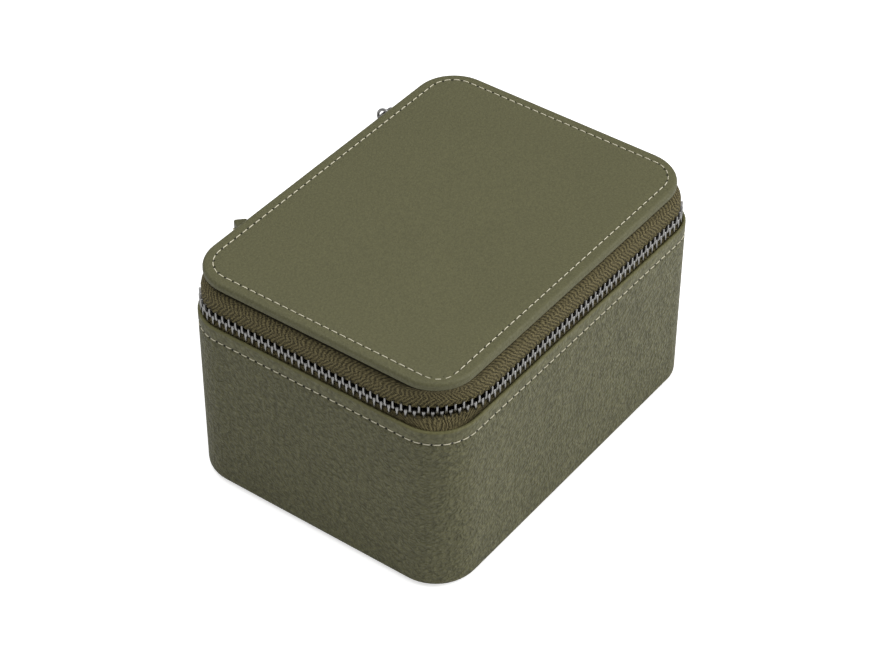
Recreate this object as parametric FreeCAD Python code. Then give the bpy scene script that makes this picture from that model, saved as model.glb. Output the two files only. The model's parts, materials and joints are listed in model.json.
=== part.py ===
import FreeCAD, Part
import math
import os

from FreeCAD import Vector

# A zipped leather travel case for two watches. Millimetres, +Z up.
# Origin: centre of the underside. X is the long side, the hinge is on the +Y side.

# Case body
CASE_LENGTH = 128.4
CASE_WIDTH = 95.8
CASE_CORNER_R = 14.0
RIM_Z = 60.4
BOTTOM_EDGE_R = 2.0
RIM_EDGE_R = 0.5
LEATHER = 1.2
BOARD = 2.4
LINING = 1.0
GLUE = 0.05
SMALLEST_CORNER_R = 1.0
LEVEL_TOLERANCE = 0.0001

# Underside
BOTTOM_PANEL_T = 0.5
BOTTOM_PANEL_INSET = 6.0
TURN_IN = 12.0
FLOOR_PAD_T = 2.0
FLOOR_PAD_GAP = 0.3

# Seat of the zip tape between the wrap and the board collar
TAPE = 0.7
TAPE_SEAT_DEPTH = 8.8
TAPE_GAP = 0.1
TAPE_SLACK = 0.2
COLLAR_DROP = 1.3
LINING_LIP = 0.8

# Lid
LID_INSET = 1.9
LID_OVER_CHAIN = 9.0
LID_EDGE_T = 3.6
LID_LEATHER = 1.0
LID_CROWN = 0.7
LID_EDGE_R = 2.4
LID_TURN_IN = 7.0
LID_BOARD_T = 1.0
LID_LINING_T = 1.6
LID_LINING_INSET = 7.2
LID_TAPE_INSET = 4.0
LID_TAPE_HEM = 5.0

# Zip chain
CHAIN_OVER_RIM = 3.2
TOOTH_PITCH = 2.4
TOOTH_T = 0.8
TOOTH_DEPTH = 2.2
TOOTH_REACH = 0.45
TOOTH_LEG_END = 2.2
TOOTH_HEAD = 1.1
TOOTH_GRIP = 0.1
TAPE_TO_CHAIN = 1.5
OPEN_LIFT = 1.75
OPEN_DROP = 0.3

# Back of the case: hinge strip, tails of the zip on either side of it
HINGE_OVER_CHAIN = 2.9
HINGE_FOLD_GAP = 0.1
HINGE_STRIP_T = 0.9
HINGE_TO_STOP = 1.25
TAIL_SPLIT_INSET = 4.7
TAIL_BELOW_LID = 1.2
SEAM_GAP = 0.5

# Slider, parked near the right end of the zip
SLIDER_LENGTH = 12.5
SLIDER_TAPER_LENGTH = 4.2
SLIDER_PAST_CORNER = 0.8
SLIDER_MOUTH = 7.8
SLIDER_TAIL = 5.8
SLIDER_PLATE = 1.0
SLIDER_CLEAR = 0.35
SLIDER_POST_LENGTH = 2.6
SLIDER_POST_H = 1.1
SLIDER_TRAVEL_OUT = 5.0
SLIDER_TRAVEL_IN = 1.5
BRIDGE_LENGTH = 7.2
BRIDGE_RISE = 5.9
BRIDGE_W = 1.8
BRIDGE_T = 1.0
BRIDGE_LIFT = 0.5

# Pull: a wire ring through the bridge and a leather tab on the ring
RING_WIRE = 1.0
RING_INNER_R = 2.4
RING_OUT = 0.35
FIT_CLEAR = 0.1
PULL_LENGTH = 27.0
PULL_WIDTH = 9.0
PULL_T = 2.4
PULL_HOLE_R = 1.2
PULL_EYELET_WALL = 0.5
PULL_TOP_MARGIN = 1.2

# Ends of the chain
STOP_LENGTH = 1.4
END_TAB_LENGTH = 9.3
END_TAB_SEAT = 6.0
END_TAB_T = 2.4
END_TAB_ANGLE = 46.0
END_TAB_OVER_FOLD = 0.3
END_STITCH_LENGTH = 2.4
END_STITCH_T = 0.5
END_STITCH_PITCH = 3.2
END_STITCH_COUNT = 2

# Inside: divider and two cushions
DIVIDER_BOARD_T = 2.0
DIVIDER_LINING_T = 0.8
DIVIDER_HEIGHT = 40.0
DIVIDER_GAP = 0.2
CUSHION_CLEAR_X = 2.3
CUSHION_CLEAR_Y = 3.0
CUSHION_FOOT_TUCK = 8.0
CUSHION_SHOULDER_TUCK = 10.0
CUSHION_HEIGHT = 46.0
CUSHION_CROWN = 7.0
CUSHION_COVER = 1.2
CUSHION_REST = 0.2
CUSHION_END_DRAW = 0.15
CUSHION_END_LIFT = 0.33
CUSHION_END_ROUND = 4
CUSHION_STATIONS = 7

# Derived places
HALF_X = CASE_LENGTH / 2
HALF_Y = CASE_WIDTH / 2
BOARD_OUT = LEATHER + GLUE
BOARD_IN = BOARD_OUT + BOARD
LINING_OUT = BOARD_IN + GLUE
LINING_IN = LINING_OUT + LINING
WRAP_Z = BOTTOM_PANEL_T
FLOOR_BOARD_Z = WRAP_Z + LEATHER + GLUE
FLOOR_Z = FLOOR_BOARD_Z + BOARD + GLUE
FLOOR_TOP_Z = FLOOR_Z + FLOOR_PAD_T
CHAIN_INSET = LEATHER + TAPE_GAP + HINGE_STRIP_T / 2
COLLAR_OUT = CHAIN_INSET + HINGE_STRIP_T / 2 + TAPE_SLACK
COLLAR_TOP_Z = RIM_Z - COLLAR_DROP
TAPE_SEAT_Z = RIM_Z - TAPE_SEAT_DEPTH
CHAIN_Z = RIM_Z + CHAIN_OVER_RIM
HINGE_Z = CHAIN_Z + HINGE_OVER_CHAIN
LID_BOTTOM_Z = CHAIN_Z + LID_OVER_CHAIN
TAIL_TOP_Z = LID_BOTTOM_Z - TAIL_BELOW_LID
TAIL_SPLIT_X = HALF_X - TAIL_SPLIT_INSET
END_TAB_TOP_Z = HINGE_Z + END_TAB_OVER_FOLD
LID_EDGE_TOP_Z = LID_BOTTOM_Z + LID_EDGE_T
LID_TOP_Z = LID_EDGE_TOP_Z + LID_CROWN
LID_CAVITY_Z = LID_BOTTOM_Z + LID_LEATHER
LID_HEM_Z = LID_BOTTOM_Z - TAPE - GLUE
CHAIN_HALF_X = HALF_X - CHAIN_INSET
CHAIN_HALF_Y = HALF_Y - CHAIN_INSET
CHAIN_R = CASE_CORNER_R - CHAIN_INSET
HINGE_Y = CHAIN_HALF_Y + HINGE_STRIP_T / 2
PLATE_OUT_Y = HALF_Y + SLIDER_CLEAR
PLATE_IN_Y = CHAIN_HALF_Y - TOOTH_DEPTH / 2 - SLIDER_CLEAR
SLIDER_X1 = CHAIN_HALF_X - CHAIN_R + SLIDER_PAST_CORNER
SLIDER_X0 = SLIDER_X1 - SLIDER_LENGTH
POST_X1 = SLIDER_X0 + SLIDER_POST_LENGTH
OPEN_GAP_LOW = CHAIN_Z + TOOTH_REACH - OPEN_DROP
OPEN_GAP_HIGH = CHAIN_Z - TOOTH_REACH + OPEN_LIFT
POST_Z = (OPEN_GAP_LOW + OPEN_GAP_HIGH) / 2
OPEN_END_X = POST_X1 + SLIDER_TRAVEL_IN + SLIDER_CLEAR + TOOTH_T / 2
CHAIN_END_X = SLIDER_X0 - SLIDER_TRAVEL_OUT - SLIDER_CLEAR
HINGE_HALF = CHAIN_END_X - STOP_LENGTH - HINGE_TO_STOP
BRIDGE_Z = CHAIN_Z + BRIDGE_LIFT
BRIDGE_Y = PLATE_OUT_Y + SLIDER_PLATE + BRIDGE_RISE - BRIDGE_T / 2
RING_R = RING_INNER_R + RING_WIRE / 2
RING_Y = BRIDGE_Y + RING_OUT
RING_HANG = RING_INNER_R - math.hypot(BRIDGE_T, BRIDGE_W) / 2 - FIT_CLEAR
RING_Z = BRIDGE_Z - math.sqrt(max(RING_HANG ** 2 - (RING_Y - BRIDGE_Y) ** 2, 0.0))
DIVIDER_HALF = DIVIDER_BOARD_T / 2 + GLUE + DIVIDER_LINING_T
BAY_WIDTH = HALF_X - LINING_IN - DIVIDER_HALF
CUSHION_WIDTH = BAY_WIDTH - 2 * CUSHION_CLEAR_X
CUSHION_X = DIVIDER_HALF + BAY_WIDTH / 2
CUSHION_LENGTH = CASE_WIDTH - 2 * (LINING_IN + CUSHION_CLEAR_Y)
CUSHION_Z = FLOOR_TOP_Z + CUSHION_REST
TOP = LID_TOP_Z + CASE_WIDTH


def outline(inset, z):
    """Rounded rectangle, set in from the case's outer wall."""
    half_x = HALF_X - inset
    half_y = HALF_Y - inset
    r = max(CASE_CORNER_R - inset, SMALLEST_CORNER_R)
    mid = r * (1 - math.sqrt(0.5))
    edges = []
    corners = [(1, -1), (1, 1), (-1, 1), (-1, -1)]
    for index, (sx, sy) in enumerate(corners):
        near = Vector(sx * half_x, sy * (half_y - r), z)
        far = Vector(sx * (half_x - r), sy * half_y, z)
        bow = Vector(sx * (half_x - mid), sy * (half_y - mid), z)
        start, end = (far, near) if sx == -sy else (near, far)
        edges.append(Part.Arc(start, bow, end).toShape())
        nx, ny = corners[(index + 1) % 4]
        if nx == sx:
            following = Vector(nx * half_x, ny * (half_y - r), z)
        else:
            following = Vector(nx * (half_x - r), ny * half_y, z)
        edges.append(Part.LineSegment(end, following).toShape())
    return Part.Wire(edges)


def prism(inset, z0, z1):
    return Part.Face(outline(inset, z0)).extrude(Vector(0, 0, z1 - z0))


def ring(outer_inset, inner_inset, z0, z1):
    return prism(outer_inset, z0, z1).cut(prism(inner_inset, z0, z1))


def taper(inset0, z0, inset1, z1):
    return Part.makeLoft([outline(inset0, z0), outline(inset1, z1)], True, True)


def box(x0, x1, y0, y1, z0, z1):
    return Part.makeBox(x1 - x0, y1 - y0, z1 - z0, Vector(x0, y0, z0))


def slab(points, normal, depth):
    """Straight-sided piece: a closed outline of points pushed along a normal."""
    vectors = [Vector(*point) for point in points]
    face = Part.Face(Part.makePolygon(vectors + vectors[:1]))
    return face.extrude(Vector(*normal) * depth)


def level_edges(shape, z):
    return [edge for edge in shape.Edges
            if max(abs(edge.BoundBox.ZMin - z), abs(edge.BoundBox.ZMax - z)) < LEVEL_TOLERANCE]


def rounded_bottom(inset, z0, z1, radius):
    block = prism(inset, z0, z1)
    return block.makeFillet(radius, level_edges(block, z0))


def write(name, shape):
    shape.exportStep("parts/" + name + ".step")


def base_wrap():
    """Leather round the walls, rolled at the rim and turned in under the floor."""
    skin = rounded_bottom(0, WRAP_Z, RIM_Z, BOTTOM_EDGE_R)
    skin = skin.makeFillet(RIM_EDGE_R, level_edges(skin, RIM_Z))
    hollow = rounded_bottom(LEATHER, WRAP_Z + LEATHER, TOP, BOTTOM_EDGE_R - LEATHER)
    return skin.cut(hollow).cut(prism(TURN_IN, 0, WRAP_Z + 2 * LEATHER))


def base_pieces():
    write("base_leather_wrap", base_wrap())
    write("base_bottom_panel", prism(BOTTOM_PANEL_INSET, 0, BOTTOM_PANEL_T))
    filler = prism(TURN_IN + TAPE_SLACK, WRAP_Z + GLUE, WRAP_Z + LEATHER)
    write("base_bottom_filler", filler)
    floor_edge = min(BOTTOM_EDGE_R - BOARD_OUT, BOARD - GLUE)
    floor_board = rounded_bottom(BOARD_OUT, FLOOR_BOARD_Z, FLOOR_BOARD_Z + BOARD, floor_edge)
    write("base_floor_board", floor_board)
    wall = ring(BOARD_OUT, BOARD_IN, FLOOR_Z, TAPE_SEAT_Z)
    collar = ring(COLLAR_OUT, BOARD_IN, TAPE_SEAT_Z, COLLAR_TOP_Z)
    write("base_wall_board", wall.fuse(collar).removeSplitter())
    lining = ring(LINING_OUT, LINING_IN, FLOOR_Z, COLLAR_TOP_Z + GLUE)
    lip = ring(COLLAR_OUT, LINING_IN, COLLAR_TOP_Z + GLUE, COLLAR_TOP_Z + GLUE + LINING_LIP)
    write("base_wall_lining", lining.fuse(lip).removeSplitter())
    write("base_floor_pad", prism(LINING_IN + FLOOR_PAD_GAP, FLOOR_Z, FLOOR_TOP_Z))


def divider_pieces():
    half_y = HALF_Y - LINING_IN - DIVIDER_GAP
    z0 = FLOOR_TOP_Z + GLUE
    z1 = z0 + DIVIDER_HEIGHT
    half_t = DIVIDER_BOARD_T / 2
    board = box(-half_t, half_t, -half_y, half_y, z0, z1)
    cover = box(-DIVIDER_HALF, DIVIDER_HALF, -half_y, half_y, z0, z1 + GLUE + DIVIDER_LINING_T)
    hollow = box(-half_t - GLUE, half_t + GLUE, -half_y, half_y, z0, z1 + GLUE)
    write("divider_board", board)
    write("divider_lining", cover.cut(hollow))


def lid_dome(inset, top_z):
    """Block with a faintly domed top that is LID_CROWN lower at the corners."""
    reach = math.hypot(HALF_X - LID_INSET, HALF_Y - LID_INSET)
    radius = (reach * reach + LID_CROWN * LID_CROWN) / (2 * LID_CROWN)
    ball = Part.makeSphere(radius, Vector(0, 0, top_z - radius))
    return prism(inset, LID_BOTTOM_Z, top_z + LID_CROWN).common(ball)


def lid_pieces():
    cover = lid_dome(LID_INSET, LID_TOP_Z)
    upper_edges = [edge for edge in cover.Edges
                   if edge.BoundBox.ZMin > LID_BOTTOM_Z + LID_EDGE_T / 2]
    cover = cover.makeFillet(LID_EDGE_R, upper_edges)
    cavity_inset = LID_INSET + LID_LEATHER
    cavity = lid_dome(cavity_inset, LID_TOP_Z - LID_LEATHER).cut(prism(0, 0, LID_CAVITY_Z))
    window = prism(LID_INSET + LID_TURN_IN, LID_BOTTOM_Z, LID_CAVITY_Z)
    write("lid_leather", cover.cut(cavity).cut(window))
    board_z0 = LID_CAVITY_Z + GLUE
    board_z1 = board_z0 + LID_BOARD_T
    board_inset = cavity_inset + GLUE
    write("lid_board", prism(board_inset, board_z0, board_z1))
    foam = lid_dome(board_inset, LID_TOP_Z - LID_LEATHER - GLUE)
    write("lid_foam", foam.cut(prism(0, 0, board_z1 + GLUE)))
    inner_z0 = LID_HEM_Z
    inner_inset = LID_TAPE_INSET + LID_TAPE_HEM + TAPE_SLACK
    inner_inset = max(inner_inset, LID_INSET + LID_TURN_IN + GLUE)
    write("lid_inner_board", prism(inner_inset, inner_z0, LID_CAVITY_Z))
    write("lid_lining", prism(LID_LINING_INSET, inner_z0 - GLUE - LID_LINING_T, inner_z0 - GLUE))


def behind(x0, x1):
    """Everything on the hinge side between two X planes."""
    return box(x0, x1, 0, CASE_WIDTH, 0, TOP)


def lower_tape(thickness):
    low = CHAIN_INSET - thickness / 2
    return ring(low, low + thickness, TAPE_SEAT_Z + GLUE, CHAIN_Z - TAPE_TO_CHAIN)


def upper_wall(thickness, z0, bend_z):
    """Tape wall: upright to the bend, then leaning in to the lid's underside."""
    shift = thickness / 2
    outer = taper(CHAIN_INSET - shift, bend_z, LID_TAPE_INSET - shift, LID_HEM_Z)
    inner = taper(CHAIN_INSET + shift, bend_z, LID_TAPE_INSET + shift, LID_HEM_Z)
    upright = ring(CHAIN_INSET - shift, CHAIN_INSET + shift, z0, bend_z)
    return upright.fuse(outer.cut(inner)).removeSplitter()


def hem(thickness):
    inset = LID_TAPE_INSET - thickness / 2
    return ring(inset, LID_TAPE_INSET + LID_TAPE_HEM, LID_HEM_Z, LID_HEM_Z + TAPE)


def tape_pieces():
    hinge_zone = behind(-HINGE_HALF, HINGE_HALF)
    gap_zone = behind(-HINGE_HALF - SEAM_GAP, HINGE_HALF + SEAM_GAP)
    tail_zone = behind(-TAIL_SPLIT_X, TAIL_SPLIT_X)
    wide_tail_zone = behind(-TAIL_SPLIT_X - SEAM_GAP, TAIL_SPLIT_X + SEAM_GAP)
    write("lower_zip_tape", lower_tape(TAPE).cut(gap_zone))

    upper_z = CHAIN_Z + TAPE_TO_CHAIN
    bend_z = CHAIN_Z + TOOTH_LEG_END + TOOTH_GRIP
    upper = upper_wall(TAPE, upper_z, bend_z).fuse(hem(TAPE)).removeSplitter()
    write("upper_zip_tape", upper.cut(wide_tail_zone))

    tails = upper_wall(TAPE, upper_z, bend_z + OPEN_LIFT).common(tail_zone).cut(gap_zone)
    tails = tails.cut(box(-HALF_X, HALF_X, 0, CASE_WIDTH, TAIL_TOP_Z, TOP))
    left = tails.common(behind(-HALF_X, 0))
    right = tails.common(behind(0, HALF_X))
    lifted = box(0, OPEN_END_X + TOOTH_T, 0, CASE_WIDTH, 0, upper_z + OPEN_LIFT)
    write("zip_tail_tape_left", left)
    write("zip_tail_tape_right", right.cut(lifted))

    lower_strip = lower_tape(HINGE_STRIP_T).common(hinge_zone)
    neck_z0 = CHAIN_Z - TAPE_TO_CHAIN
    neck_y = CHAIN_HALF_Y - HINGE_STRIP_T / 2
    neck = box(-HINGE_HALF, HINGE_HALF, neck_y, HINGE_Y, neck_z0, HINGE_Z - HINGE_FOLD_GAP / 2)
    write("hinge_strip_lower", lower_strip.fuse(neck).removeSplitter())
    fold_z = HINGE_Z + HINGE_FOLD_GAP / 2
    upper_strip = upper_wall(HINGE_STRIP_T, fold_z, fold_z + HINGE_STRIP_T)
    upper_strip = upper_strip.fuse(hem(HINGE_STRIP_T)).removeSplitter()
    write("hinge_strip_upper", upper_strip.common(hinge_zone))


def chain_place(distance):
    """Point and outward angle on the right half of the chain, from the front's middle."""
    front = CHAIN_HALF_X - CHAIN_R
    side = 2 * (CHAIN_HALF_Y - CHAIN_R)
    quarter = CHAIN_R * math.pi / 2
    if distance < front:
        return distance, -CHAIN_HALF_Y, -90.0
    distance -= front
    if distance < quarter:
        turn = distance / CHAIN_R - math.pi / 2
        x = front + CHAIN_R * math.cos(turn)
        return x, -side / 2 + CHAIN_R * math.sin(turn), math.degrees(turn)
    distance -= quarter
    if distance < side:
        return CHAIN_HALF_X, distance - side / 2, 0.0
    distance -= side
    if distance < quarter:
        turn = distance / CHAIN_R
        x = front + CHAIN_R * math.cos(turn)
        return x, side / 2 + CHAIN_R * math.sin(turn), math.degrees(turn)
    return front - (distance - quarter), CHAIN_HALF_Y, 90.0


def tooth(side):
    """One tooth about the chain's line: a head towards the other row, two legs on the tape."""
    half = TOOTH_DEPTH / 2
    slot = TAPE / 2 + TOOTH_GRIP
    tip = -side * TOOTH_REACH
    crotch = side * TOOTH_HEAD
    end = side * TOOTH_LEG_END
    x = -TOOTH_T / 2
    corners = [(half, tip), (half, end), (slot, end), (slot, crotch),
               (-slot, crotch), (-slot, end), (-half, end), (-half, tip)]
    return slab([(x, y, z) for y, z in corners], (1, 0, 0), TOOTH_T)


def placed(shape, x, y, z, outward):
    copy = shape.copy()
    turn = FreeCAD.Rotation(Vector(0, 0, 1), outward - 90.0)
    copy.Placement = FreeCAD.Placement(Vector(x, y, z), turn)
    return copy


def chain_length():
    front = CHAIN_HALF_X - CHAIN_R
    side = 2 * (CHAIN_HALF_Y - CHAIN_R)
    return front + CHAIN_R * math.pi + side + front - CHAIN_END_X


def teeth_row(side):
    """Rows of one side of the chain: on the moving lid or the base, then on the tails."""
    model = tooth(side)
    start = TOOTH_PITCH / 2 if side > 0 else 0.0
    count = int((chain_length() - start - STOP_LENGTH) / TOOTH_PITCH)
    main = []
    tails = []
    for index in range(count):
        x, y, outward = chain_place(start + index * TOOTH_PITCH)
        in_tail = y > 0 and x < TAIL_SPLIT_X + SEAM_GAP + TOOTH_T
        row = tails if in_tail else main
        opened = in_tail and x < OPEN_END_X
        shift = 0.0
        if opened:
            shift = OPEN_LIFT if side > 0 else -OPEN_DROP
        row.append(placed(model, x, y, CHAIN_Z + shift, outward))
        if x > 0 and not (in_tail and x < CHAIN_END_X + STOP_LENGTH):
            row.append(placed(model, -x, y, CHAIN_Z, 180.0 - outward))
    return main, tails


def stop_block(x, z0, z1):
    """Metal stop, clamped over the tape's edge like a tooth."""
    half = TOOTH_DEPTH / 2
    slot = TAPE / 2 + TOOTH_GRIP
    block = box(x, x + STOP_LENGTH, CHAIN_HALF_Y - half, CHAIN_HALF_Y + half, z0, z1)
    tape = box(x, x + STOP_LENGTH, CHAIN_HALF_Y - slot, CHAIN_HALF_Y + slot, 0, TOP)
    core = box(x, x + STOP_LENGTH, CHAIN_HALF_Y - half, CHAIN_HALF_Y + half,
               CHAIN_Z - TOOTH_HEAD, CHAIN_Z + TOOTH_HEAD)
    return block.cut(tape).fuse(core.common(block)).removeSplitter()


def chain_pieces():
    upper, upper_tails = teeth_row(1)
    lower, lower_tails = teeth_row(-1)
    write("upper_zip_teeth", Part.makeCompound(upper))
    write("lower_zip_teeth", Part.makeCompound(lower + lower_tails))
    write("zip_tail_teeth", Part.makeCompound(upper_tails))
    leg = CHAIN_Z - TOOTH_LEG_END
    low_stop = stop_block(CHAIN_END_X - STOP_LENGTH, leg, CHAIN_Z + TOOTH_REACH)
    low_stop.translate(Vector(0, 0, -OPEN_DROP))
    high_stop = stop_block(CHAIN_END_X - STOP_LENGTH, CHAIN_Z - TOOTH_REACH, CHAIN_Z + TOOTH_LEG_END)
    high_stop.translate(Vector(0, 0, OPEN_LIFT))
    write("zip_top_stops", Part.makeCompound([low_stop, high_stop]))
    bottom_stop = stop_block(-CHAIN_END_X, leg, CHAIN_Z + TOOTH_LEG_END)
    write("zip_bottom_stop", bottom_stop)


def end_tab_pieces():
    """Leather folded over the zip's left end, standing out from the back of the case."""
    z0 = RIM_Z + TAPE_SLACK
    height = END_TAB_TOP_Z - z0
    seat_y = CHAIN_HALF_Y + TOOTH_DEPTH / 2 + GLUE
    bend_x = -CHAIN_END_X + STOP_LENGTH
    angle = math.radians(END_TAB_ANGLE)
    along = Vector(math.cos(angle), math.sin(angle), 0)
    across = Vector(-math.sin(angle), math.cos(angle), 0)
    mitre = END_TAB_T * math.tan(angle / 2)
    start = Vector(bend_x - END_TAB_SEAT, seat_y, z0)
    bend = Vector(bend_x, seat_y, z0)
    tip = bend + along * END_TAB_LENGTH
    outer_bend = bend + Vector(-mitre, END_TAB_T, 0)
    points = [start, bend, tip, tip + across * END_TAB_T, outer_bend, start + Vector(0, END_TAB_T, 0)]
    tab = slab([tuple(point) for point in points], (0, 0, 1), height)
    write("zip_end_tab", tab)

    stitch = Part.makeCylinder(END_STITCH_T / 2, END_STITCH_LENGTH, Vector(0, 0, 0), Vector(1, 0, 0))
    stitches = []
    for index in range(END_STITCH_COUNT):
        middle = END_TAB_LENGTH - END_STITCH_PITCH * (END_STITCH_COUNT - index - 0.5)
        place = bend + along * (middle - END_STITCH_LENGTH / 2)
        place = place + across * (END_TAB_T + END_STITCH_T / 2)
        copy = stitch.copy()
        turn = FreeCAD.Rotation(Vector(0, 0, 1), END_TAB_ANGLE)
        copy.Placement = FreeCAD.Placement(place + Vector(0, 0, height / 2), turn)
        stitches.append(copy)
    write("end_tab_stitches", Part.makeCompound(stitches))


def slider_plate(y0):
    half_mouth = SLIDER_MOUTH / 2
    half_tail = SLIDER_TAIL / 2
    waist = SLIDER_X1 - SLIDER_TAPER_LENGTH
    points = [(SLIDER_X0, y0, CHAIN_Z - half_mouth), (waist, y0, CHAIN_Z - half_mouth),
              (SLIDER_X1, y0, CHAIN_Z - half_tail), (SLIDER_X1, y0, CHAIN_Z + half_tail),
              (waist, y0, CHAIN_Z + half_mouth), (SLIDER_X0, y0, CHAIN_Z + half_mouth)]
    return slab(points, (0, 1, 0), SLIDER_PLATE)


def slider_pieces():
    outer = slider_plate(PLATE_OUT_Y)
    below_rim = box(0, HALF_X, 0, CASE_WIDTH, 0, RIM_Z + SLIDER_CLEAR)
    inner = slider_plate(PLATE_IN_Y - SLIDER_PLATE).cut(below_rim)
    half_post = SLIDER_POST_H / 2
    middle = (SLIDER_X0 + POST_X1) / 2
    diamond = [(SLIDER_X0, PLATE_IN_Y, POST_Z), (middle, PLATE_IN_Y, POST_Z - half_post),
               (POST_X1, PLATE_IN_Y, POST_Z), (middle, PLATE_IN_Y, POST_Z + half_post)]
    post = slab(diamond, (0, 1, 0), PLATE_OUT_Y - PLATE_IN_Y)
    write("slider_body", outer.fuse([inner, post]).removeSplitter())

    foot_y = PLATE_OUT_Y + SLIDER_PLATE
    x0 = SLIDER_X0 + BRIDGE_T
    z0 = BRIDGE_Z - BRIDGE_W / 2
    arch = box(x0, x0 + BRIDGE_LENGTH, foot_y, foot_y + BRIDGE_RISE, z0, z0 + BRIDGE_W)
    corners = [edge for edge in arch.Edges
               if edge.BoundBox.YMin > foot_y + BRIDGE_T and edge.BoundBox.ZLength > BRIDGE_T]
    arch = arch.makeFillet(BRIDGE_T, corners)
    gap = box(x0 + BRIDGE_T, x0 + BRIDGE_LENGTH - BRIDGE_T, foot_y,
              foot_y + BRIDGE_RISE - BRIDGE_T, z0, z0 + BRIDGE_W)
    write("slider_bridge", arch.cut(gap))


def pull_pieces():
    centre_x = SLIDER_X0 + BRIDGE_T + BRIDGE_LENGTH / 2
    ring_centre = Vector(centre_x, RING_Y, RING_Z)
    write("pull_ring", Part.makeTorus(RING_R, RING_WIRE / 2, ring_centre, Vector(1, 0, 0)))

    wire_top = RING_Z - math.sqrt(RING_INNER_R ** 2 - (PULL_T / 2) ** 2)
    hole_z = wire_top + FIT_CLEAR - PULL_HOLE_R
    hole_wall_r = PULL_HOLE_R + PULL_EYELET_WALL
    half = PULL_WIDTH / 2
    y0 = RING_Y - PULL_T / 2
    top = hole_z + PULL_HOLE_R + PULL_TOP_MARGIN
    low = top - PULL_LENGTH
    tab = box(centre_x - half, centre_x + half, y0, y0 + PULL_T, low + half, top)
    toe = Part.makeCylinder(half, PULL_T, Vector(centre_x, y0, low + half), Vector(0, 1, 0))
    shoulders = [(centre_x - half, y0, top - half), (centre_x - half, y0, top + half),
                 (centre_x + half, y0, top + half), (centre_x + half, y0, top - half),
                 (centre_x + hole_wall_r, y0, top), (centre_x - hole_wall_r, y0, top)]
    tab = tab.fuse(toe).removeSplitter().cut(slab(shoulders, (0, 1, 0), PULL_T))
    hole = Part.makeCylinder(hole_wall_r + GLUE, PULL_T, Vector(centre_x, y0, hole_z), Vector(0, 1, 0))
    write("pull_tab", tab.cut(hole))
    eyelet = Part.makeCylinder(hole_wall_r, PULL_T, Vector(centre_x, y0, hole_z), Vector(0, 1, 0))
    bore = Part.makeCylinder(PULL_HOLE_R, PULL_T, Vector(centre_x, y0, hole_z), Vector(0, 1, 0))
    write("pull_eyelet", eyelet.cut(bore))


def cushion_section(x, scale, inset):
    """Pillow section across the case: flat foot, bulging ends and a crowned top."""
    z0 = CUSHION_Z + inset + (1 - scale) * CUSHION_HEIGHT * CUSHION_END_LIFT
    shoulder_z = z0 + (CUSHION_HEIGHT - CUSHION_CROWN - 2 * inset) * scale
    crown_z = z0 + (CUSHION_HEIGHT - 2 * inset) * scale
    foot = (CUSHION_LENGTH / 2 - CUSHION_FOOT_TUCK - inset) * scale
    bulge = (CUSHION_LENGTH / 2 - inset) * scale
    shoulder = (CUSHION_LENGTH / 2 - CUSHION_SHOULDER_TUCK - inset) * scale
    middle_z = (z0 + shoulder_z) / 2
    feet = [Vector(x, side * foot, z0) for side in (-1, 1)]
    bulges = [Vector(x, side * bulge, middle_z) for side in (-1, 1)]
    shoulders = [Vector(x, side * shoulder, shoulder_z) for side in (-1, 1)]
    edges = [Part.LineSegment(feet[0], feet[1]).toShape(),
             Part.Arc(feet[1], bulges[1], shoulders[1]).toShape(),
             Part.Arc(shoulders[1], Vector(x, 0, crown_z), shoulders[0]).toShape(),
             Part.Arc(shoulders[0], bulges[0], feet[0]).toShape()]
    return Part.Wire(edges)


def cushion_form(centre_x, inset):
    half = CUSHION_WIDTH / 2 - inset
    sections = []
    for index in range(CUSHION_STATIONS):
        along = math.sin(math.pi * (index / (CUSHION_STATIONS - 1) - 0.5))
        scale = 1 - CUSHION_END_DRAW * along ** CUSHION_END_ROUND
        sections.append(cushion_section(centre_x + half * along, scale, inset))
    return Part.makeLoft(sections, True, False)


def cushion_pieces():
    for name, side in (("left", -1), ("right", 1)):
        outer = cushion_form(side * CUSHION_X, 0.0)
        write("cushion_" + name + "_cover", outer.cut(cushion_form(side * CUSHION_X, CUSHION_COVER)))
        write("cushion_" + name + "_core", cushion_form(side * CUSHION_X, CUSHION_COVER + GLUE))


os.makedirs("parts", exist_ok=True)
base_pieces()
divider_pieces()
lid_pieces()
tape_pieces()
chain_pieces()
end_tab_pieces()
slider_pieces()
pull_pieces()
cushion_pieces()
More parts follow.
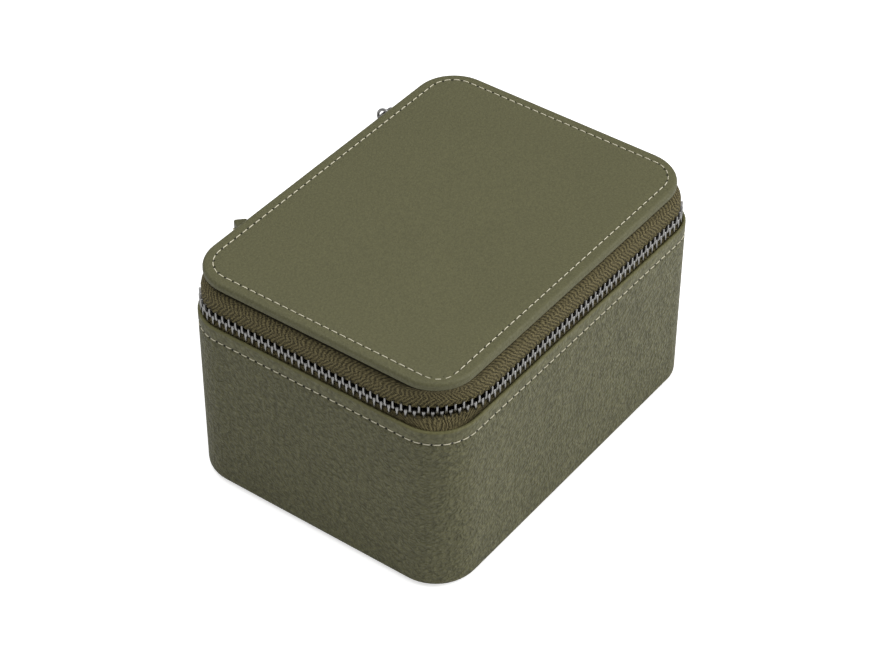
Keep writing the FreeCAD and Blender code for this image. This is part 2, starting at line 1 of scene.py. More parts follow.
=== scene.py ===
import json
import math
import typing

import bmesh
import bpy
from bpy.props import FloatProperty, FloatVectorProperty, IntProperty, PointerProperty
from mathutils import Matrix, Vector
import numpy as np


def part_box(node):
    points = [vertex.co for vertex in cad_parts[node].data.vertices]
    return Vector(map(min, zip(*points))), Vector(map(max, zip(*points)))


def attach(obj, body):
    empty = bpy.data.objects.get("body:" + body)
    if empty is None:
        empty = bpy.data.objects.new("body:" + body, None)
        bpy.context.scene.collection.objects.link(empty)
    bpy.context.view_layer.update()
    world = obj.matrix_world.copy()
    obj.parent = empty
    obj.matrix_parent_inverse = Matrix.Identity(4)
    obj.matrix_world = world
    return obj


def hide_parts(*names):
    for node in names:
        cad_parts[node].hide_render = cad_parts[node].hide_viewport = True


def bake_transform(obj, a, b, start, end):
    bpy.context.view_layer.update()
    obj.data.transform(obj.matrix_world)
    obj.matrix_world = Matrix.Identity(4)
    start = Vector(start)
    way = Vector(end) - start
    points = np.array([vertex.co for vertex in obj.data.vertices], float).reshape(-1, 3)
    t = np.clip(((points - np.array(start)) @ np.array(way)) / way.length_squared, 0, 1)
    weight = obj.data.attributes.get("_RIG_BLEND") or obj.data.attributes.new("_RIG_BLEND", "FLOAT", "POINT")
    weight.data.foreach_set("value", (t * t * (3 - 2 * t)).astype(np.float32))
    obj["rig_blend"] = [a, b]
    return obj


bl_info = {
    "name": "Watch Travel Case",
    "version": (1, 0, 0),
    "blender": (4, 5, 0),
    "location": "View3D > Sidebar > Watch Case",
    "description": "Builds the leather, zip, lining, cushions and stage of a zipped watch travel case",
    "category": "Object",
}

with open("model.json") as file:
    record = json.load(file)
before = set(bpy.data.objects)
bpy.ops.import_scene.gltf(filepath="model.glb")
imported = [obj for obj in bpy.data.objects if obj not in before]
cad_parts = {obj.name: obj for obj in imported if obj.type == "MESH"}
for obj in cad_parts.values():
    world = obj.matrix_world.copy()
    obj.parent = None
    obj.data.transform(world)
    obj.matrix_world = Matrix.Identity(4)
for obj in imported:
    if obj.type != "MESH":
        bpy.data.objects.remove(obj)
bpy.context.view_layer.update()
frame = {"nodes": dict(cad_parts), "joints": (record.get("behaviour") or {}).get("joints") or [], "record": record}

MM = 0.001
WRAP_LOW, WRAP_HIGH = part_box("base_leather_wrap")
LID_LOW, LID_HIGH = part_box("lid_leather")
TAPE_LOW, TAPE_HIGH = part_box("upper_zip_tape")
SEAT_LOW, SEAT_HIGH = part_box("lower_zip_tape")
TEETH_LOW, TEETH_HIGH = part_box("upper_zip_teeth")
LINING_LOW, LINING_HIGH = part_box("base_wall_lining")
SLIDER_LOW, SLIDER_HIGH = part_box("slider_body")
STOP_LOW, STOP_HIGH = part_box("zip_bottom_stop")
HINGE_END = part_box("hinge_strip_upper")[1].x
HINGE = Vector(next(joint["pos_m"] for joint in frame["joints"] if joint["name"] == "lid_hinge"))
SLOTS = {part["node"]: part["material_slot"] for part in frame["record"]["subparts"]}

CORNER_STEPS = 12
RING_POINTS = 4 * (CORNER_STEPS + 1)
# Place in a ring where the straight front begins
FRONT_START = 3 * (CORNER_STEPS + 1) - 1
SMALLEST_RADIUS = 1.0 * MM
STITCH_RISE = 0.14 * MM


# Sizes and colours that a user would change

def length(name, description, default):
    return FloatProperty(name=name, description=description, default=default, min=0.0, unit="LENGTH",
                         subtype="DISTANCE", precision=5)


def colour(name, description, default):
    return FloatVectorProperty(name=name, description=description, default=default, min=0.0, max=1.0,
                               size=4, subtype="COLOR")


class CaseSizes(bpy.types.PropertyGroup):
    """Sizes of the leather, the zip and the sewing."""
    corner_radius: length("Corner radius", "Upright corners of the leather wall", 14.0 * MM)
    right_corner_radius: length("Right corner radius", "Upright corner at the right front", 11.7 * MM)
    lid_corner_radius: length("Lid corner radius", "Corners of the lid", 13.0 * MM)
    lid_right_radius: length("Lid right radius", "Corner of the lid at the right front", 14.0 * MM)
    chain_radius: length("Zip bend radius", "Bend of the zip at the left front corner", 21.5 * MM)
    chain_right_radius: length("Zip right radius", "Bend of the zip at the right front corner", 11.3 * MM)
    leather: length("Leather", "Thickness of the leather", 1.2 * MM)
    bottom_radius: length("Bottom edge", "Rounding of the bottom edge", 2.0 * MM)
    turn_in: length("Turn-in", "Leather folded in under the floor", 12.0 * MM)
    lid_edge: length("Lid edge", "Thickness of the lid at its edge", 3.6 * MM)
    lid_edge_radius: length("Lid edge radius", "Rounding of the lid's edge", 1.15 * MM)
    lid_gap: length("Lid gap", "Dark gap between the tape and the lid's rolled edge", 0.6 * MM)
    lid_turn_in: length("Lid turn-in", "Leather folded in under the lid", 7.0 * MM)
    stitch_pitch: length("Stitch pitch", "Distance from stitch to stitch", 2.9 * MM)
    stitch_depth: length("Stitch groove", "Depth that the thread pulls the leather in", 0.28 * MM)
    lid_stitch_inset: length("Lid stitch inset", "Stitch line from the lid's edge", 3.5 * MM)
    lid_stitch_radius: length("Lid stitch radius", "Corners of the lid's stitch line", 6.0 * MM)
    wall_stitch_drop: length("Wall stitch drop", "Stitch line below the rim", 4.5 * MM)
    tape: length("Zip tape", "Thickness of the zip's woven tape", 0.7 * MM)
    tooth_pitch: length("Tooth pitch", "Distance from tooth to tooth in a row", 2.4 * MM)
    tooth_depth: length("Tooth depth", "Tooth from the outside to the inside", 2.2 * MM)
    arch_reach: length("Arch reach", "How much further out the slider's arch stands", 0.7 * MM)
    loop_swell: length("Loop swell", "How much thicker the end tab is at its fold", 1.6 * MM)
    loop_length: length("Loop length", "Length of the end tab's thicker part", 7.0 * MM)
    cushion_voxel: length("Cushion mesh", "Grid of the cushion before it is filled", 3.0 * MM)
    sim_frames: IntProperty(name="Filling frames", description="Frames that fill the cushion", default=20,
                            min=2)


class CaseColours(bpy.types.PropertyGroup):
    """Colours of the finishes."""
    leather: colour("Leather", "Olive leather", (0.119, 0.115, 0.053, 1.0))
    # Colour of a thin, lighter and yellower line along the rim's rolled crest, where the leather folds over
    # without a cut edge.
    edge: colour("Cut edge", "Painted top edge of the rim", (0.135, 0.128, 0.050, 1.0))
    tape: colour("Zip tape", "Woven tape, warmer than the leather", (0.098, 0.083, 0.040, 1.0))
    thread: colour("Thread", "Waxed cream thread", (0.60, 0.54, 0.33, 1.0))
    metal: colour("Metal", "Bright nickel", (0.37, 0.366, 0.357, 1.0))
    lining: colour("Lining", "Napped beige lining", (0.36, 0.31, 0.22, 1.0))
    board: colour("Board", "Grey board and foam", (0.32, 0.31, 0.29, 1.0))
    floor: colour("Floor", "Pale studio floor", (0.93, 0.93, 0.93, 1.0))


# Outlines and profiles

class Outline(typing.NamedTuple):
    """Rounded rectangle about the case's middle. Radii: right back, left back, left front, right front."""
    half_x: float
    half_y: float
    radii: tuple

    def inset(self, depth):
        return Outline(self.half_x - depth, self.half_y - depth,
                       tuple(max(r - depth, SMALLEST_RADIUS) for r in self.radii))

    def towards(self, other, share):
        """Outline part of the way to another."""
        return Outline(self.half_x + (other.half_x - self.half_x) * share,
                       self.half_y + (other.half_y - self.half_y) * share,
                       tuple(a + (b - a) * share for a, b in zip(self.radii, other.radii)))

    def sides(self):
        """Radius and centre of each corner, then the straight run after it, from the right back corner."""
        found = []
        for corner, (side_x, side_y) in enumerate(((1, 1), (-1, 1), (-1, -1), (1, -1))):
            r, following = self.radii[corner], self.radii[(corner + 1) % 4]
            span = 2 * (self.half_y if corner % 2 else self.half_x)
            found.append((r, side_x * (self.half_x - r), side_y * (self.half_y - r), span - r - following))
        return found

    def point(self, place):
        """Point of the ring at one of its numbered places."""
        corner, step = divmod(place, CORNER_STEPS + 1)
        r, x, y, _ = self.sides()[corner]
        turn = math.radians(90 * (corner + step / CORNER_STEPS))
        return x + r * math.cos(turn), y + r * math.sin(turn)

    def lengths(self):
        """Distance along the outline to each numbered place, and right round."""
        found = []
        run = 0.0
        for r, _, _, straight in self.sides():
            found += [run + r * math.pi / 2 * step / CORNER_STEPS for step in range(CORNER_STEPS + 1)]
            run += r * math.pi / 2 + straight
        return found, run

    def walk(self, distance):
        """Point and outward angle at a distance along the outline."""
        distance %= self.lengths()[1]
        for corner, (r, x, y, straight) in enumerate(self.sides()):
            bend = r * math.pi / 2
            if distance < bend + straight:
                turn = math.pi / 2 * corner + min(distance, bend) / r
                on = max(distance - bend, 0.0)
                return (x + r * math.cos(turn) - on * math.sin(turn),
                        y + r * math.sin(turn) + on * math.cos(turn), turn)
            distance -= bend + straight
        raise ValueError("the distance is past the outline's end")


def rings(outline, profile):
    """Rings of one outline, from (inset, height) pairs."""
    return [(outline.inset(inset), z) for inset, z in profile]


def arc(inset, z, radius, start, end, steps=6):
    """(inset, height) pairs round a centre. Angle 0 points outwards and 90 upwards."""
    pairs = []
    for step in range(steps + 1):
        turn = math.radians(start + (end - start) * step / steps)
        pairs.append((inset - radius * math.cos(turn), z + radius * math.sin(turn)))
    return pairs


def wall_outline(sizes):
    radii = (sizes.corner_radius,) * 3 + (sizes.right_corner_radius,)
    return Outline(WRAP_HIGH.x, WRAP_HIGH.y, radii)


def lid_outline(sizes):
    radii = (sizes.lid_corner_radius,) * 3 + (sizes.lid_right_radius,)
    return Outline(LID_HIGH.x, LID_HIGH.y, radii)


def chain_outline(sizes):
    outline = seat_outline(sizes)
    back = outline.radii[0]
    return outline._replace(radii=(back, back, sizes.chain_radius, sizes.chain_right_radius))


def seat_outline(sizes):
    """Where the lower tape comes up between the wall and its lining."""
    half = sizes.tooth_depth / 2
    outline = wall_outline(sizes).inset(WRAP_HIGH.x - TEETH_HIGH.x + half)
    return outline._replace(half_y=STOP_HIGH.y - half)


def lid_stitch_outline(sizes):
    outline = lid_outline(sizes).inset(sizes.lid_stitch_inset)
    wider = 2.5 * MM
    near, far = sizes.lid_stitch_radius, sizes.lid_stitch_radius + wider
    return outline._replace(radii=(far, far, near, far))


def wall_stitch_z(sizes):
    return WRAP_HIGH.z - sizes.wall_stitch_drop


# Modelling helpers

def deselect():
    bpy.ops.object.select_all(action="DESELECT")


def leave_edit():
    bpy.ops.object.mode_set(mode="OBJECT")


def fix_place():
    """Take the selected piece's place, turn and size into its mesh."""
    bpy.ops.object.transform_apply(location=True, rotation=True, scale=True)


def select_only(obj):
    deselect()
    obj.select_set(True)
    bpy.context.view_layer.objects.active = obj


def edit(obj):
    """Open a piece for editing, with all of it selected."""
    select_only(obj)
    bpy.ops.object.mode_set(mode="EDIT")
    bpy.ops.mesh.select_mode(type="FACE")
    bpy.ops.mesh.select_all(action="SELECT")
    return bmesh.from_edit_mesh(obj.data)


def pick(obj, test, kind="faces"):
    """Select the faces, edges or vertices that pass a test, in edit mode."""
    bpy.ops.mesh.select_all(action="DESELECT")
    bpy.ops.mesh.select_mode(type={"faces": "FACE", "edges": "EDGE", "verts": "VERT"}[kind])
    shape = bmesh.from_edit_mesh(obj.data)
    for item in getattr(shape, kind):
        if test(item):
            item.select_set(True)
    shape.select_flush_mode()
    bmesh.update_edit_mesh(obj.data)


def close_edit():
    """Leave edit mode with the faces pointing outwards."""
    bpy.ops.mesh.select_all(action="SELECT")
    bpy.ops.mesh.normals_make_consistent(inside=False)
    leave_edit()


def modify(obj, kind, **settings):
    """Add a modifier and apply it."""
    select_only(obj)
    modifier = obj.modifiers.new(kind.lower(), kind)
    for key, value in settings.items():
        setattr(modifier, key, value)
    bpy.ops.object.modifier_apply(modifier=modifier.name)


def smooth(obj, angle=40):
    select_only(obj)
    bpy.ops.object.shade_smooth_by_angle(angle=math.radians(angle))
    modify(obj, "WEIGHTED_NORMAL", keep_sharp=True)


def grown(name, stack, caps="KEPT"):
    """A piece grown ring by ring from a rounded face. Its caps are kept, open or joined to each other."""
    deselect()
    bpy.ops.mesh.primitive_circle_add(vertices=RING_POINTS, radius=1, fill_type="NGON", calc_uvs=False)
    obj = bpy.context.object
    obj.name = obj.data.name = name
    shape = edit(obj)
    place = shape.verts.layers.int.new("place")
    across = shape.verts.layers.float.new("across")
    for index, vert in enumerate(shape.verts):
        vert[place] = index
    run = 0.0
    last = None
    for outline, z in stack:
        if last:
            bpy.ops.mesh.extrude_region_move()
            shape = bmesh.from_edit_mesh(obj.data)
            place = shape.verts.layers.int["place"]
            across = shape.verts.layers.float["across"]
            run += math.hypot(outline.half_y - last[0].half_y, z - last[1])
        for vert in shape.verts:
            if vert.select:
                vert.co = (*outline.point(vert[place]), z)
                vert[across] = run
        bmesh.update_edit_mesh(obj.data)
        last = outline, z
    if caps != "KEPT":
        pick(obj, lambda face: len(face.verts) == RING_POINTS)
        bpy.ops.mesh.delete(type="ONLY_FACE")
    if caps == "JOINED":
        pick(obj, lambda edge: edge.is_boundary, "edges")
        bpy.ops.mesh.bridge_edge_loops()
    close_edit()
    return obj


def wrap_uv(obj, outline):
    """UV map in millimetres: along the outline, and across from the first ring."""
    along, total = outline.lengths()
    mesh = obj.data
    places = [item.value for item in mesh.attributes["place"].data]
    across = [item.value for item in mesh.attributes["across"].data]
    layer = mesh.uv_layers.new(name="wrap")
    for face in mesh.polygons:
        around = [along[places[vert]] for vert in face.vertices]
        if max(around) - min(around) > total / 2:
            around = [value + total if value < total / 2 else value for value in around]
        for loop, vert, value in zip(face.loop_indices, face.vertices, around):
            layer.data[loop].uv = (value / MM, across[vert] / MM)


def cut_at(obj, *places):
    """Cut a piece at X planes."""
    for x in places:
        edit(obj)
        bpy.ops.mesh.bisect(plane_co=(x, 0, 0), plane_no=(1, 0, 0))
        leave_edit()


def keep_zone(obj, cuts, test):
    """Cut a piece at X planes and keep the faces that pass a test of their middle."""
    cut_at(obj, *cuts)
    edit(obj)
    pick(obj, lambda face: not test(face.calc_center_median()))
    bpy.ops.mesh.delete(type="FACE")
    leave_edit()


def copies(model, name, matrices):
    """Copies of a model at each matrix, joined in one piece. The model goes."""
    made = []
    for matrix in matrices:
        copy = model.copy()
        copy.data = model.data.copy()
        bpy.context.collection.objects.link(copy)
        copy.matrix_world = matrix
        made.append(copy)
    deselect()
    for copy in made:
        copy.select_set(True)
    bpy.context.view_layer.objects.active = made[0]
    bpy.ops.object.join()
    joined = bpy.context.object
    joined.name = joined.data.name = name
    fix_place()
    bpy.data.objects.remove(model)
    return joined


def standing(x, y, z, turn):
    """Matrix that puts a model at a place with its +Y along the outward angle."""
    return Matrix.Translation((x, y, z)) @ Matrix.Rotation(turn - math.pi / 2, 4, "Z")


def copy_of(source, name):
    """A new piece with a copy of another's mesh."""
    obj = bpy.data.objects.new(name, source.data.copy())
    obj.data.name = name
    bpy.context.collection.objects.link(obj)
    return obj


def softened(node, name, width, segments=2):
    """A copy of a frame piece with its edges rounded."""
    obj = copy_of(frame["nodes"][node], name)
    edit(obj)
    bpy.ops.mesh.remove_doubles(threshold=0.002 * MM)
    bpy.ops.mesh.dissolve_limited(angle_limit=math.radians(2))
    leave_edit()
    modify(obj, "BEVEL", width=width, segments=segments, limit_method="ANGLE", angle_limit=math.radians(35))
    smooth(obj, 60)
    return obj


def dress(obj, finish, *nodes):
    """Give a piece its finish and hide the frame pieces that it stands for."""
    obj.data.materials.clear()
    obj.data.materials.append(bpy.data.materials[finish])
    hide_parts(*nodes)


def settle(obj, body, finish, *nodes):
    """Put a piece on its body and dress it."""
    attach(obj, body)
    dress(obj, finish, *nodes)


# Finishes

def put(tree, kind, inputs=None, **settings):
    """A node with its settings, and its inputs set or linked."""
    made = tree.nodes.new("ShaderNode" + kind)
    for key, value in settings.items():
        setattr(made, key, value)
    for key, value in (inputs or {}).items():
        if isinstance(value, bpy.types.NodeSocket):
            tree.links.new(value, made.inputs[key])
        else:
            made.inputs[key].default_value = value
    return made


def reckon(tree, operation, first, second=0.0, third=0.0):
    return put(tree, "Math", {0: first, 1: second, 2: third}, operation=operation).outputs[0]


def scaled(tree, value, factor, offset):
    return reckon(tree, "MULTIPLY_ADD", value, factor, offset)


def noise(tree, vector, scale, detail, **more):
    inputs = {"Vector": vector, "Scale": scale, "Detail": detail, **more}
    return put(tree, "TexNoise", inputs).outputs["Fac"]


def blended(tree, mask, first, second):
    """Colour between two, by a mask."""
    return put(tree, "Mix", {0: mask, 6: first, 7: second}, data_type="RGBA").outputs[2]


def shade(value, factor):
    return tuple(part * factor for part in value[:3]) + (1.0,)


def toned(tree, mask, tint, dark, light):
    """From a dark to a light shade of one colour, by a mask."""
    return blended(tree, mask, shade(tint, dark), shade(tint, light))


def ramp(tree, value, low, high, smooth_step=True):
    """0 below low, 1 above high."""
    kind = "SMOOTHSTEP" if smooth_step else "LINEAR"
    inputs = {"Value": value, "From Min": low, "From Max": high}
    return put(tree, "MapRange", inputs, interpolation_type=kind).outputs["Result"]


def group(name, inputs, *outputs):
    """Empty shader node group. An input with no number is a vector, and the outputs are numbers."""
    tree = bpy.data.node_groups.new(name, "ShaderNodeTree")
    for label, default in inputs.items():
        kind = "NodeSocketVector" if default is None else "NodeSocketFloat"
        socket = tree.interface.new_socket(label, in_out="INPUT", socket_type=kind)
        if default is not None:
            socket.default_value = default
    for label in outputs:
        tree.interface.new_socket(label, in_out="OUTPUT", socket_type="NodeSocketFloat")
    return tree, tree.nodes.new("NodeGroupInput").outputs, tree.nodes.new("NodeGroupOutput").inputs


def use(tree, name, inputs):
    """A group's outputs, with its inputs set or linked."""
    return put(tree, "Group", inputs, node_tree=bpy.data.node_groups[name]).outputs


def pebble_group():
    """Pebbled leather: soft waves and rounded cells with creases between them, and slow changes of tone. The tone
    also carries painted shade: darker in the creases and in the waves' hollows, lighter on their crowns.
    """
    tree, given, result = group("pebble_grain", {"Vector": None, "Cells": 900.0, "Crease": 0.3},
                                "Height", "Tone")
    sway, middle = 0.0006, 0.5
    wave_height, cell_height, fine_height = 1.5, 0.45, 0.3
    patch_tone, least_tone, crease_shade = 0.35, 0.25, 0.3
    wobble = put(tree, "TexNoise", {"Vector": given["Vector"], "Scale": 500.0, "Detail": 2.0})
    spread = put(tree, "VectorMath", {0: wobble.outputs["Color"], 1: (sway,) * 3}, operation="MULTIPLY")
    bent = put(tree, "VectorMath", {0: given["Vector"], 1: spread.outputs[0]}, operation="ADD").outputs[0]
    cells = put(tree, "TexVoronoi", {"Vector": bent, "Scale": given["Cells"]}, feature="DISTANCE_TO_EDGE")
    pebble = ramp(tree, cells.outputs["Distance"], 0.0, given["Crease"])
    fine = noise(tree, bent, 2600.0, 3.0)
    wave = noise(tree, bent, given["Cells"], 1.0)
    swell = scaled(tree, wave, wave_height, reckon(tree, "MULTIPLY", pebble, cell_height))
    tree.links.new(scaled(tree, fine, fine_height, swell), result["Height"])
    patches = scaled(tree, noise(tree, given["Vector"], 38.0, 3.0), patch_tone, least_tone)
    # Painted shade: the creases between cells and the hollows of the waves are darkened, on top of the random
    # patches.
    crease_shaded = scaled(tree, reckon(tree, "SUBTRACT", pebble, middle), crease_shade, patches)
    tone = scaled(tree, reckon(tree, "SUBTRACT", wave, middle), wave_height, crease_shaded)
    tree.links.new(tone, result["Tone"])


def hole_group():
    """Needle holes: spots a stitch apart along one line of the wrapped UV map, painted dark as the shade inside
    each hole.
    """
    tree, given, result = group("needle_holes", {"UV": None, "Pitch": 2.9, "Line": 0.0}, "Mask")
    rim, core = 0.48, 0.22
    parts = put(tree, "SeparateXYZ", {0: given["UV"]}).outputs
    share = reckon(tree, "FRACT", reckon(tree, "DIVIDE", parts["X"], given["Pitch"]))
    near = reckon(tree, "MULTIPLY", reckon(tree, "PINGPONG", share, 0.5), given["Pitch"])
    off = reckon(tree, "SUBTRACT", parts["Y"], given["Line"])
    away = reckon(tree, "SQRT", scaled(tree, near, near, reckon(tree, "MULTIPLY", off, off)))
    tree.links.new(ramp(tree, away, rim, core), result["Mask"])


def twill_group():
    """Herringbone twill: slanted ribs that turn back in each band, broken up by the yarn. Its tone follows the
    relief: painted highlights on the raised yarn and painted shade in the grooves, with random yarn variation.
    """
    tree, given, result = group("twill_weave", {"UV": None, "Pitch": 1.4, "Band": 3.4, "Start": 3.0},
                                "Height", "Tone")
    drift, rib_slope, pick_slope, pick_pitch = 1.6, 0.9, -1.2, 0.8
    rib_height, pick_height, fuzz_height, middle, brightest = 0.36, 0.22, 3.0, 0.5, 1.35
    parts = put(tree, "SeparateXYZ", {0: given["UV"]}).outputs
    slant = reckon(tree, "PINGPONG", reckon(tree, "ADD", parts["Y"], given["Start"]), given["Band"])
    start = scaled(tree, noise(tree, given["UV"], 0.45, 2.0), drift, parts["X"])
    along = scaled(tree, slant, rib_slope, start)
    turn = reckon(tree, "MULTIPLY", reckon(tree, "DIVIDE", along, given["Pitch"]), 2 * math.pi)
    rib = scaled(tree, reckon(tree, "SINE", turn), rib_height, middle)
    across = scaled(tree, slant, pick_slope, start)
    picks = reckon(tree, "SINE", reckon(tree, "MULTIPLY", across, 2 * math.pi / pick_pitch))
    yarn = scaled(tree, picks, pick_height, rib)
    fuzz = reckon(tree, "SUBTRACT", noise(tree, given["UV"], 2.4, 3.0), middle)
    height = scaled(tree, fuzz, fuzz_height, yarn)
    tree.links.new(height, result["Height"])
    # Painted light: the tone rises with the height, lighter on raised yarn and darker in the grooves.
    tree.links.new(ramp(tree, height, 0.0, brightest, False), result["Tone"])


def nap_group():
    """Napped cloth or fibre board: a short fuzz and brushed patches."""
    tree, given, result = group("short_nap", {"Vector": None, "Size": 1500.0}, "Height", "Tone")
    fuzz_tone, brushed_tone = 0.4, 0.6
    fuzz = noise(tree, given["Vector"], given["Size"], 5.0, Roughness=0.65)
    brushed = noise(tree, given["Vector"], 70.0, 3.0, Distortion=1.2)
    tree.links.new(fuzz, result["Height"])
    patches = reckon(tree, "MULTIPLY", brushed, brushed_tone)
    tree.links.new(scaled(tree, fuzz, fuzz_tone, patches), result["Tone"])


def new_finish(name, values):
    """A finish's node tree and its shader's inputs, with the plain ones set."""
    finish = bpy.data.materials.new(name)
    finish.use_nodes = True
    tree = finish.node_tree
    shader = tree.nodes["Principled BSDF"].inputs
    for key, value in values.items():
        shader[key].default_value = value
    return tree, shader


def paint(tree, shader, tint, height, depth):
    """Link a finish's colour, and its relief through a Bump node."""
    tree.links.new(tint, shader["Base Color"])
    node = put(tree, "Bump", {"Height": height, "Distance": depth, "Strength": 1.0})
    tree.links.new(node.outputs["Normal"], shader["Normal"])


def vary_gloss(tree, shader, mask, low, high):
    rough = put(tree, "MapRange", {"Value": mask, "To Min": low, "To Max": high})
    tree.links.new(rough.outputs["Result"], shader["Roughness"])


def leather_finish(name, colours, cells, depth, crease, gloss, mottle_and_shade, holes=None, rim=None):
    """Olive leather. Holes give the stitch line's pitch and UV height, rim the smooth band below the rim."""
    tree, shader = new_finish(name, {"Specular IOR Level": 0.36})
    place = put(tree, "TexCoord").outputs
    grain = use(tree, "pebble_grain", {"Vector": place["Object"], "Cells": cells, "Crease": crease})
    height = grain["Height"]
    # The grain's tone mixes random patches with painted shade in the creases and hollows.
    tint = toned(tree, grain["Tone"], colours.leather, *mottle_and_shade)
    if rim:
        top, band = rim
        soft, calming = 0.4 * MM, -0.72
        up = put(tree, "SeparateXYZ", {0: place["Object"]}).outputs["Z"]
        calm = ramp(tree, up, top - band - soft, top - band + soft)
        height = reckon(tree, "MULTIPLY", height, scaled(tree, calm, calming, 1.0))
        # A thin, lighter and yellower line along the rim's rolled crest.
        crest_line = ramp(tree, up, top - 0.65 * MM, top - 0.25 * MM)
        tint = blended(tree, crest_line, tint, tuple(colours.edge))
    if holes:
        pitch, line = holes
        hole_shade, hole_depth = 0.2, -3.0
        marks = use(tree, "needle_holes", {"UV": place["UV"], "Pitch": pitch / MM, "Line": line / MM})
        # Painted shade: each needle hole is darkened as its own shade, besides being pressed in by the bump.
        tint = blended(tree, marks["Mask"], tint, shade(colours.leather, hole_shade))
        height = scaled(tree, marks["Mask"], hole_depth, height)
    vary_gloss(tree, shader, grain["Tone"], gloss + 0.10, gloss - 0.06)
    paint(tree, shader, tint, height, depth)


def tape_finish(sizes, colours):
    """Woven tape. Its bands of twill lie lower past the near corner. It is painted darker near the teeth and just
    under the lid: painted shade and painted shadow.
    """
    tree, shader = new_finish("zip_tape_twill", {"Roughness": 0.8, "Specular IOR Level": 0.15})
    place = put(tree, "TexCoord").outputs
    band, start, climb = 3.4, 3.0, 2.6
    turn_start, turn_end = 24.0, 10.0
    around = put(tree, "SeparateXYZ", {0: place["UV"]}).outputs["X"]
    corner = chain_outline(sizes).lengths()[0][FRONT_START] / MM
    past = ramp(tree, around, corner - turn_start, corner - turn_end)
    from_edge = scaled(tree, past, climb, start)
    weave = use(tree, "twill_weave", {"UV": place["UV"], "Band": band, "Start": from_edge})
    # From painted shade in the twill's grooves to painted highlights on its raised yarn.
    tint = toned(tree, weave["Tone"], colours.tape, 0.42, 2.9)
    # Painted shade and shadow: the tape is darkened close to the teeth, where they shade it, and just below the
    # lid's edge, where the lid casts its shadow.
    up = put(tree, "SeparateXYZ", {0: place["Object"]}).outputs["Z"]
    away = reckon(tree, "ABSOLUTE", reckon(tree, "SUBTRACT", up, chain_z()))
    shade_near_teeth = ramp(tree, away, 1.6 * MM, 1.2 * MM)
    shadow_under_lid = ramp(tree, up, LID_LOW.z - 0.9 * MM, LID_LOW.z - 0.4 * MM)
    dark = reckon(tree, "MAXIMUM", shade_near_teeth, shadow_under_lid)
    tint = blended(tree, dark, tint, shade(colours.tape, 0.12))
    paint(tree, shader, tint, weave["Height"], 0.22 * MM)


def thread_finish(colours):
    tree, shader = new_finish("cream_thread", {"Roughness": 0.58, "Sheen Weight": 0.15})
    place = put(tree, "TexCoord").outputs["Object"]
    ply = put(tree, "TexWave", {"Vector": place, "Scale": 900.0, "Distortion": 1.5, "Detail": 2.0},
              bands_direction="DIAGONAL").outputs["Fac"]
    paint(tree, shader, toned(tree, ply, colours.thread, 0.72, 1.08), ply, 0.06 * MM)


def metal_finish(colours):
    tree, shader = new_finish("bright_nickel", {"Metallic": 1.0})
    wear = noise(tree, put(tree, "TexCoord").outputs["Object"], 420.0, 4.0)
    vary_gloss(tree, shader, wear, 0.18, 0.38)
    paint(tree, shader, toned(tree, wear, colours.metal, 0.8, 1.12), wear, 0.03 * MM)


def napped_finish(name, tint, size, depth, sheen):
    tree, shader = new_finish(name, {"Roughness": 0.92, "Sheen Weight": sheen})
    nap = use(tree, "short_nap", {"Vector": put(tree, "TexCoord").outputs["Object"], "Size": size})
    paint(tree, shader, toned(tree, nap["Tone"], tint, 0.72, 1.25), nap["Height"], depth)


def make_finishes(sizes, colours):
    """All finishes, by name in bpy.data.materials."""
    for build in (pebble_group, hole_group, twill_group, nap_group):
        build()
    # The wall's wider range deepens its random patches and its painted shade in the creases and hollows.
    leather_finish("wall_leather", colours, cells=660.0, depth=0.74 * MM, crease=0.35, gloss=0.48,
                   mottle_and_shade=(0.72, 1.40), holes=(even_pitch(wall_outline(sizes), sizes), wall_line(sizes)),
                   rim=(WRAP_HIGH.z, sizes.wall_stitch_drop))
    leather_finish("lid_top_leather", colours, cells=1250.0, depth=0.10 * MM, crease=0.30, gloss=0.50,
                   mottle_and_shade=(0.82, 1.12),
                   holes=(even_pitch(lid_stitch_outline(sizes), sizes), lid_line(sizes)))
    leather_finish("trim_leather", colours, cells=1250.0, depth=0.12 * MM, crease=0.30, gloss=0.52,
                   mottle_and_shade=(0.82, 1.12))
    tape_finish(sizes, colours)
    thread_finish(colours)
    metal_finish(colours)
    napped_finish("suede_lining", colours.lining, size=1500.0, depth=0.12 * MM, sheen=0.35)
    napped_finish("grey_board", colours.board, size=900.0, depth=0.05 * MM, sheen=0.0)


SLOT_OF_FINISH = {
    "wall_leather": "olive_leather", "lid_top_leather": "olive_leather", "trim_leather": "olive_leather",
    "zip_tape_twill": "zip_tape", "cream_thread": "cream_thread", "bright_nickel": "nickel",
    "suede_lining": "suede_lining", "grey_board": "grey_board",
}
# Frame pieces take the last finish of their slot
FINISH_OF_SLOT = {slot: finish for finish, slot in SLOT_OF_FINISH.items()} | {"foam": "grey_board"}


# Leather covers

def wall_profile(sizes):
    """Section of the leather wall, from its turned-in edge out, up over the rim and down inside."""
    low, top = WRAP_LOW.z, WRAP_HIGH.z
    sewn = wall_stitch_z(sizes)
    roll = sizes.leather / 2
    bottom = sizes.bottom_radius
    groove, brink = 0.9 * MM, 0.02 * MM
    return [(sizes.turn_in, low), *arc(bottom, low + bottom, bottom, -90, 0),
            (0.0, sewn - 2 * groove), (brink, sewn - groove), (sizes.stitch_depth, sewn),
            (brink, sewn + groove), (0.0, sewn + 2 * groove), *arc(roll, top - roll, roll, 0, 180, 8),
            (sizes.leather, low + sizes.leather), (sizes.turn_in, low + sizes.leather)]


def line_of(profile, wanted):
    """Distance along a profile to one of its points."""
    run = 0.0
    for before, after in zip(profile, profile[1:]):
        if before == wanted:
            break
        run += math.hypot(after[0] - before[0], after[1] - before[1])
    return run


